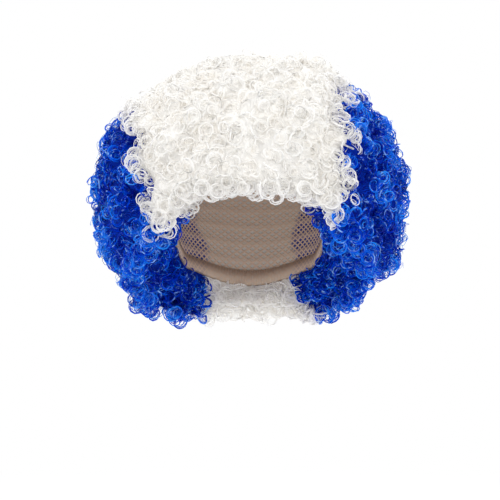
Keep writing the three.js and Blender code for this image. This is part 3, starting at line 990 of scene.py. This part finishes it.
def coil_paths(ringlets, turns, steps, nest, stray, rng):
    """Helix about each ringlet's axis: it dives into the bed at its root, swells in the middle as a sine
    and closes in at its tip. Its radius is a share of the ringlet's, which nests it inside the ring, and
    its axis, centre and radius are off by the stray."""
    count = len(ringlets["centre"])
    s = np.linspace(0, 1, steps + 1)[None, :]
    stray = stray * ringlets["mess"]
    radius = ringlets["radius"] * nest * (1 + stray * rng.uniform(-1, 1, count))
    axis = unit(ringlets["axis"] + rng.normal(size=(count, 3)) * stray[:, None])
    centre = ringlets["centre"] + rng.normal(size=(count, 3)) * stray[:, None] * CENTRE_STRAY
    across = unit(np.cross(axis, ringlets["normal"] + OFF_NORMAL))
    other = np.cross(axis, across)
    hand = np.where(np.arange(count) % 2 == 0, 1.0, -1.0)
    angle = ringlets["phase"] + rng.normal(size=count) * (PHASE_SPREAD + stray)
    angle = angle[:, None] + (hand * 2 * np.pi * turns * rng.uniform(*TURN_SPREAD, count))[:, None] * s
    swell = END_SWELL + (1 - END_SWELL) * np.sin(np.pi * s)
    swell = swell * (1 - TIP_CLOSE * smooth((s - TIP_START) / (1 - TIP_START)))
    wobble = 1 + WOBBLE * np.sin(2 * np.pi * s * rng.uniform(*WOBBLE_TURNS, (count, 1)) + angle[:, :1])
    out = across[:, None, :] * np.cos(angle)[..., None] + other[:, None, :] * np.sin(angle)[..., None]
    rise = (s - 0.5) * (turns * rng.uniform(*COIL_PITCH, count))[:, None]
    dive = DIVE_DEPTH * np.clip(1 - s / DIVE_SHARE, 0, 1) ** 2
    path = centre[:, None, :] + axis[:, None, :] * rise[..., None]
    path = path + out * (radius[:, None] * swell * wobble)[..., None]
    return path - ringlets["normal"][:, None, :] * dive[..., None], out


def ringlet_piece(name, ringlets, material, seed):
    """Joined strands of a set of ringlets, each strand with its own tone."""
    rng = np.random.default_rng(seed)
    ringlets = dict(ringlets, phase=rng.uniform(0, 2 * np.pi, len(ringlets["centre"])))
    first, last = ringlets["strands"].T
    parts = []
    for k in range(len(STRANDS["width"])):
        own = chosen(ringlets, (first <= k) & (k < last))
        count = len(own["centre"])
        if count == 0:
            continue
        turns, steps, nest, stray = (STRANDS[key][k] for key in ("turns", "steps", "nest", "stray"))
        paths, outward = coil_paths(own, turns, steps, nest, stray, rng)
        width = STRANDS["width"][k] * own["stout"] * rng.uniform(*WIDTH_SPREAD, count)
        thick = STRANDS["thick"][k] * rng.uniform(*THICK_SPREAD, count)
        *arrays, size = strand_arrays(paths, outward, width, thick)
        odd = rng.choice(ODD_TONES, count, p=ODD_CHANCES)
        tone = np.clip(own["tone"] + rng.normal(0, STRAND_TONE_SPREAD, count) + odd, 0, 1)
        parts.append((*arrays, np.repeat(tone, size)))
    points, quads, triangles, uv, tone = joined(parts)
    return mesh_piece(name, points, quads, triangles, material, {"tone": tone}, uv, flat=True)


# Where the panels are split into pieces, and the seeds of the layout and of the pieces
FRONT_END = -55.0
CROWN_END = 62.0
NAPE_TOP = -110.0
SIDE_SPLIT = 5.0
LAYOUT_SEED = 5
WHITE_SEED = 11
BLUE_SEED = 21


def ringlet_pieces():
    """The ringlets of the white panel in four pieces and of each blue panel in two, by where they lie."""
    ringlets = all_ringlets(LAYOUT_SEED)
    white = ringlets["white"]
    x, y, z = ringlets["centre"].T
    behind = y >= CROWN_END
    white_parts = {
        "front": y < FRONT_END,
        "crown": (y >= FRONT_END) & ~behind,
        "back": behind & (z > NAPE_TOP),
        "nape": behind & (z <= NAPE_TOP),
    }
    for k, (name, part) in enumerate(white_parts.items()):
        own = chosen(ringlets, white & part)
        ringlet_piece("white_ringlets_" + name, own, white_fibre, WHITE_SEED + k)
    left, front = x > 0, y < SIDE_SPLIT
    blue_parts = {
        "left_front": left & front,
        "left_back": left & ~front,
        "right_front": ~left & front,
        "right_back": ~left & ~front,
    }
    for k, (name, part) in enumerate(blue_parts.items()):
        own = chosen(ringlets, ~white & part)
        ringlet_piece("blue_ringlets_" + name, own, blue_fibre, BLUE_SEED + k)


ringlet_pieces()


# Stage

FLOOR_LEVEL = -0.46
FLOOR_HALF = 9.0
FLOOR_FADE = {"From Min": 0.5, "From Max": 1.1}  # metres from the part over which the floor turns white
LIGHTS_AIM = Vector((0, 0, -0.08))


def pale_floor():
    """Plain floor that fades into the white surround away from the part, and is clear from below."""
    mesh = bpy.data.meshes.new("floor")
    corners = ((-1, -1), (1, -1), (1, 1), (-1, 1))
    points = [(x * FLOOR_HALF, y * FLOOR_HALF, FLOOR_LEVEL) for x, y in corners]
    mesh.from_pydata(points, [], [(0, 1, 2, 3)])
    floor = bpy.data.objects.new("floor", mesh)
    bpy.context.scene.collection.objects.link(floor)
    look = bpy.data.materials.new("pale_floor")
    look.use_nodes = True
    tree = look.node_tree
    shader = tree.nodes["Principled BSDF"]
    shader.inputs["Base Color"].default_value = (0.9, 0.9, 0.9, 1)
    shader.inputs["Roughness"].default_value = 0.9
    shader.inputs["Specular IOR Level"].default_value = 0
    place = node(tree, "ShaderNodeTexCoord")
    far = node(tree, "ShaderNodeVectorMath", operation="LENGTH")
    fade = node(tree, "ShaderNodeMapRange", FLOOR_FADE, interpolation_type="SMOOTHSTEP")
    glow = node(tree, "ShaderNodeEmission", {"Strength": 1.0})
    mix = node(tree, "ShaderNodeMixShader")
    tree.links.new(place.outputs["Object"], far.inputs[0])
    tree.links.new(far.outputs["Value"], fade.inputs["Value"])
    tree.links.new(fade.outputs["Result"], mix.inputs[0])
    tree.links.new(shader.outputs["BSDF"], mix.inputs[1])
    tree.links.new(glow.outputs["Emission"], mix.inputs[2])
    face = node(tree, "ShaderNodeNewGeometry")
    clear = node(tree, "ShaderNodeBsdfTransparent")
    either = node(tree, "ShaderNodeMixShader")
    tree.links.new(face.outputs["Backfacing"], either.inputs[0])
    tree.links.new(mix.outputs["Shader"], either.inputs[1])
    tree.links.new(clear.outputs["BSDF"], either.inputs[2])
    tree.links.new(either.outputs["Shader"], tree.nodes["Material Output"].inputs["Surface"])
    mesh.materials.append(look)


def studio_surround(seen, light):
    """White surround: seen at one strength, and lighting the part at another."""
    world = bpy.data.worlds.new("studio")
    world.use_nodes = True
    tree = world.node_tree
    lit = tree.nodes["Background"]
    lit.inputs["Color"].default_value = (1, 1, 1, 1)
    lit.inputs["Strength"].default_value = light
    shown = node(tree, "ShaderNodeBackground", {"Color": (1, 1, 1, 1), "Strength": seen})
    path = node(tree, "ShaderNodeLightPath")
    mix = node(tree, "ShaderNodeMixShader")
    tree.links.new(path.outputs["Is Camera Ray"], mix.inputs[0])
    tree.links.new(lit.outputs["Background"], mix.inputs[1])
    tree.links.new(shown.outputs["Background"], mix.inputs[2])
    tree.links.new(mix.outputs["Shader"], tree.nodes["World Output"].inputs["Surface"])
    bpy.context.scene.world = world


def softbox(name, place, size, power):
    """Round area light at a place in metres, aimed at the middle of the hair."""
    light = bpy.data.lights.new(name, "AREA")
    light.shape = "DISK"
    light.size = size
    light.energy = power
    lamp = bpy.data.objects.new(name, light)
    lamp.location = place
    lamp.rotation_mode = "QUATERNION"
    lamp.rotation_quaternion = (LIGHTS_AIM - lamp.location).to_track_quat("-Z", "Y")
    bpy.context.scene.collection.objects.link(lamp)


pale_floor()
studio_surround(seen=1.0, light=1.1)
softbox("key", (-1.1, -1.7, 1.3), size=0.35, power=3.5)
softbox("fill", (1.5, -1.5, 0.5), size=0.35, power=2.5)
softbox("top", (0.0, 0.3, 2.0), size=0.5, power=2.5)
softbox("back", (0.4, 1.9, 0.6), size=0.5, power=4)

CAMERA_BACK = 2.0
CAMERA_LEVEL = -0.131
PICTURE_WIDTH = 0.5
lens = bpy.data.cameras.new("camera")
lens.sensor_width = 36
lens.lens = lens.sensor_width * CAMERA_BACK / PICTURE_WIDTH
camera = bpy.data.objects.new("camera", lens)
camera.location = (0, -CAMERA_BACK, CAMERA_LEVEL)
camera.rotation_euler = (math.radians(90), 0, 0)
bpy.context.scene.collection.objects.link(camera)
bpy.context.scene.camera = camera
bpy.context.scene.view_settings.view_transform = "Standard"
bpy.context.scene.cycles.max_bounces = 16
bpy.context.scene.cycles.diffuse_bounces = 12
